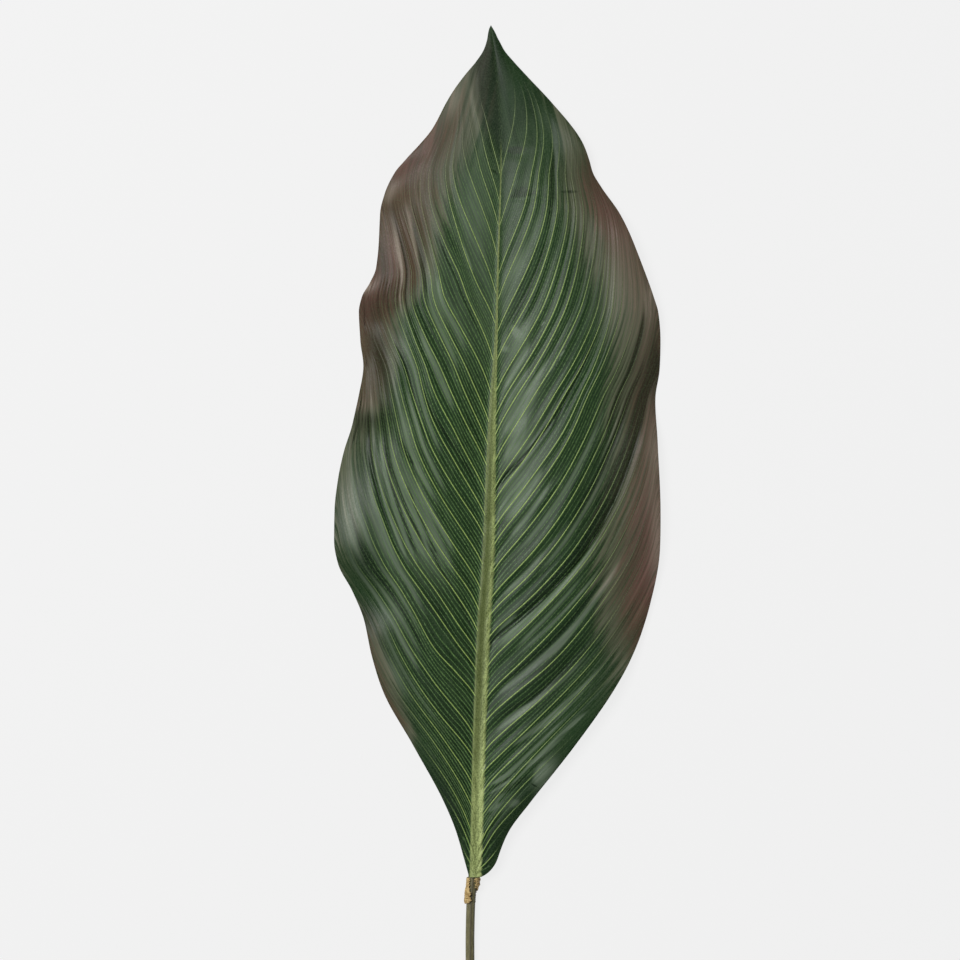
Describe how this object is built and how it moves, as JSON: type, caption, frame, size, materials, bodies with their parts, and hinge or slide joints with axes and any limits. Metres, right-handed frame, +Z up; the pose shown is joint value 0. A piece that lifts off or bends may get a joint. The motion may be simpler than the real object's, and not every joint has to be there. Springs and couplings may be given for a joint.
{
  "type": "canna leaf",
  "caption": "Large pointed leaf with waved margins, a pale midrib and arching side veins, cut with a length of stalk and lying flat, upper face up.",
  "frame": {"origin": "middle of the leaf's outline seen from above, on the surface that it lies on", "axes": "+Y from the cut stalk towards the tip, +X to the right, +Z up out of the upper face"},
  "size_m": [0.196, 0.6563, 0.0144],
  "materials": {
    "leaf_green": "satin dark green with pale veins and brown-mauve margins",
    "stalk_olive": "dull olive brown, lengthwise streaks",
    "dry_brown": "matte dry brown"
  },
  "bodies": {
    "root": {"leaf_blade": "leaf_green", "stem": "stalk_olive", "torn_wrap": "dry_brown"}
  },
  "joints": []
}
